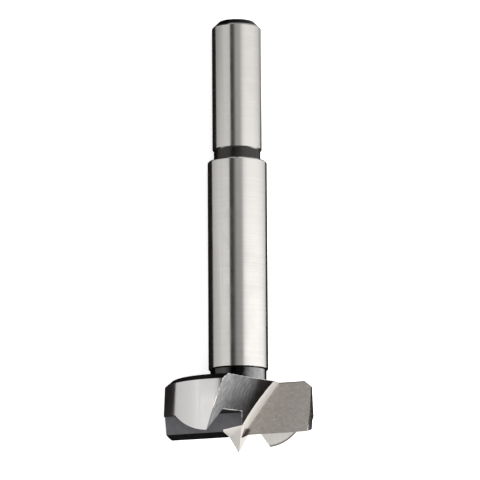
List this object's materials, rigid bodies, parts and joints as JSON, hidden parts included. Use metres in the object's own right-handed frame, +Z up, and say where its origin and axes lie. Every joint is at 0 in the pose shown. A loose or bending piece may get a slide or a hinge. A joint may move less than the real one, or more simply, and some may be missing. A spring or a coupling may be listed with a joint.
{
  "type": "forstner bit",
  "caption": "One-piece Forstner bit: a round shank and a thicker collar carry a flat cutting head with slanted wings, rim spurs and a centre point.",
  "frame": {"origin": "centre of the bounding box on the floor, under the bit as it lies at rest", "axes": "+Z up; the bit lies along Y with its centre point towards -Y and its shank towards +Y; the axis falls by 4.9 degrees towards the shank's end, which touches the floor; one throat faces up"},
  "size_m": [0.03, 0.0882, 0.0242],
  "materials": {
    "steel": "ground tool steel, with black oxide left in the groove, the neck and on the head's back"
  },
  "bodies": {
    "root": {"bit": "steel"}
  },
  "joints": []
}
